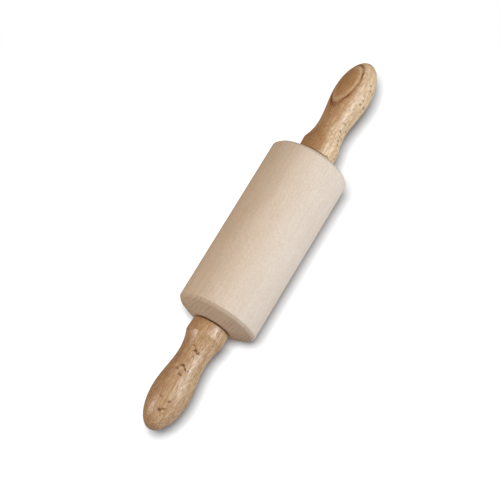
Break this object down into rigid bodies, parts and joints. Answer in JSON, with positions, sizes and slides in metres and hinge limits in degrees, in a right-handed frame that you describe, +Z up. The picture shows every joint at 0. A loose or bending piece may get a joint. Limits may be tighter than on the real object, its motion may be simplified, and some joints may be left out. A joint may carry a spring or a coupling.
{
  "type": "rolling pin",
  "caption": "Small wooden rolling pin for dough: a pale barrel with domed ends turns freely on a hidden axle that is fixed in darker waisted handles.",
  "frame": {"origin": "on the table, under the middle of the pin's length", "axes": "+X along the pin towards the far handle, +Z up from the table the barrel lies on"},
  "size_m": [0.2336, 0.045, 0.045],
  "materials": {
    "barrel_wood": "pale maple, sanded and unvarnished",
    "handle_wood": "steamed beech under clear lacquer",
    "steel": "bright drawn",
    "nylon": "natural moulded"
  },
  "bodies": {
    "barrel": {"barrel": "barrel_wood", "bush_near": "nylon", "bush_far": "nylon"},
    "handle_set": {"axle": "steel", "handle_near": "handle_wood", "handle_far": "handle_wood"},
    "near_washer": {"washer_near": "steel"},
    "far_washer": {"washer_far": "steel"}
  },
  "joints": [
    {"name": "handle_spin", "type": "hinge", "parent": "barrel", "child": "handle_set", "pos_m": [0, 0, 0.0225], "axis": [1, 0, 0], "continuous": true},
    {"name": "near_washer_spin", "type": "hinge", "parent": "handle_set", "child": "near_washer", "pos_m": [-0.0542, 0, 0.0225], "axis": [1, 0, 0], "continuous": true},
    {"name": "far_washer_spin", "type": "hinge", "parent": "handle_set", "child": "far_washer", "pos_m": [0.0542, 0, 0.0225], "axis": [1, 0, 0], "continuous": true}
  ]
}
